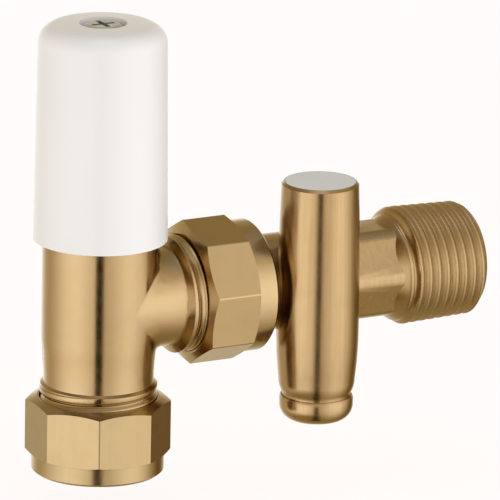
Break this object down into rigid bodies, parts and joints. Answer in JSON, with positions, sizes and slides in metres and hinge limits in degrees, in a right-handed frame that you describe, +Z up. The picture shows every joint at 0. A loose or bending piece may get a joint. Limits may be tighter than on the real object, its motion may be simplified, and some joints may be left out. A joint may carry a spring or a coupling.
{
  "type": "manual radiator valve",
  "caption": "Angle-pattern manual radiator valve: plain wheelhead, compression inlet, union tail with a side drain barrel, and a taper thread for the radiator.",
  "frame": {"origin": "on the pipe axis, at the mouth of the inlet compression nut", "axes": "+Z up the pipe and spindle axis, +X along the outlet towards the radiator, the drain barrel on the -Y side"},
  "size_m": [0.0855, 0.0291, 0.0816],
  "materials": {
    "brass": "satin, machined",
    "head_plastic": "moulded, satin gloss",
    "cap_plastic": "moulded, matt",
    "steel": "zinc plated",
    "rubber": "moulded rubber",
    "fibre": "pressed fibre",
    "packing": "packing ring"
  },
  "bodies": {
    "valve": {"valve_body": "brass", "bonnet": "brass", "bonnet_seal": "fibre", "gland_nut": "brass", "gland_packing": "packing"},
    "olive": {"olive": "brass"},
    "inlet_nut": {"compression_nut": "brass"},
    "jumper": {"jumper": "brass", "seat_washer": "rubber", "washer_nut": "brass", "jumper_clip": "steel"},
    "head": {"spindle": "brass", "wheelhead": "head_plastic", "cap_screw": "steel"},
    "tail": {"union_sleeve": "brass", "drain_tee": "brass"},
    "union_nut": {"union_nut": "brass"},
    "drain_jumper": {"drain_jumper": "brass", "drain_washer": "rubber", "drain_clip": "steel"},
    "drain_spindle": {"drain_spindle": "brass", "drain_o_ring": "rubber"},
    "drain_cap": {"drain_cap": "cap_plastic"}
  },
  "joints": [
    {"name": "jumper_lift", "type": "slide", "parent": "valve", "child": "jumper", "axis": [0, 0, 1], "range_m": [0, 0.0045]},
    {"name": "spindle_turn", "type": "hinge", "parent": "jumper", "child": "head", "pos_m": [0, 0, 0], "axis": [0, 0, 1], "range_deg": [0, 1081]},
    {"name": "olive_slide", "type": "slide", "parent": "valve", "child": "olive", "axis": [0, 0, -1], "range_m": [0, 0.00726]},
    {"name": "inlet_nut_turn", "type": "hinge", "parent": "olive", "child": "inlet_nut", "pos_m": [0, 0, 0], "axis": [0, 0, -1], "range_deg": [0, 1441]},
    {"name": "tail_slide", "type": "slide", "parent": "valve", "child": "tail", "axis": [1, 0, 0], "range_m": [0, 0.00726]},
    {"name": "union_nut_turn", "type": "hinge", "parent": "tail", "child": "union_nut", "pos_m": [0, 0, 0.0305], "axis": [1, 0, 0], "range_deg": [0, 1441]},
    {"name": "drain_lift", "type": "slide", "parent": "tail", "child": "drain_jumper", "axis": [0, 0, 1], "range_m": [0, 0.002]},
    {"name": "drain_turn", "type": "hinge", "parent": "drain_jumper", "child": "drain_spindle", "pos_m": [0.039, -0.009, 0], "axis": [0, 0, 1], "range_deg": [0, 721]},
    {"name": "drain_cap_pull", "type": "slide", "parent": "tail", "child": "drain_cap", "axis": [0, 0, 1], "range_m": [0, 0.012]}
  ],
  "couplings": [
    {"joint": "spindle_turn", "follows": "jumper_lift", "rad_per_m": 4188.8},
    {"joint": "inlet_nut_turn", "follows": "olive_slide", "rad_per_m": 3463.7},
    {"joint": "union_nut_turn", "follows": "tail_slide", "rad_per_m": 3463.7},
    {"joint": "drain_turn", "follows": "drain_lift", "rad_per_m": 6283.2}
  ]
}
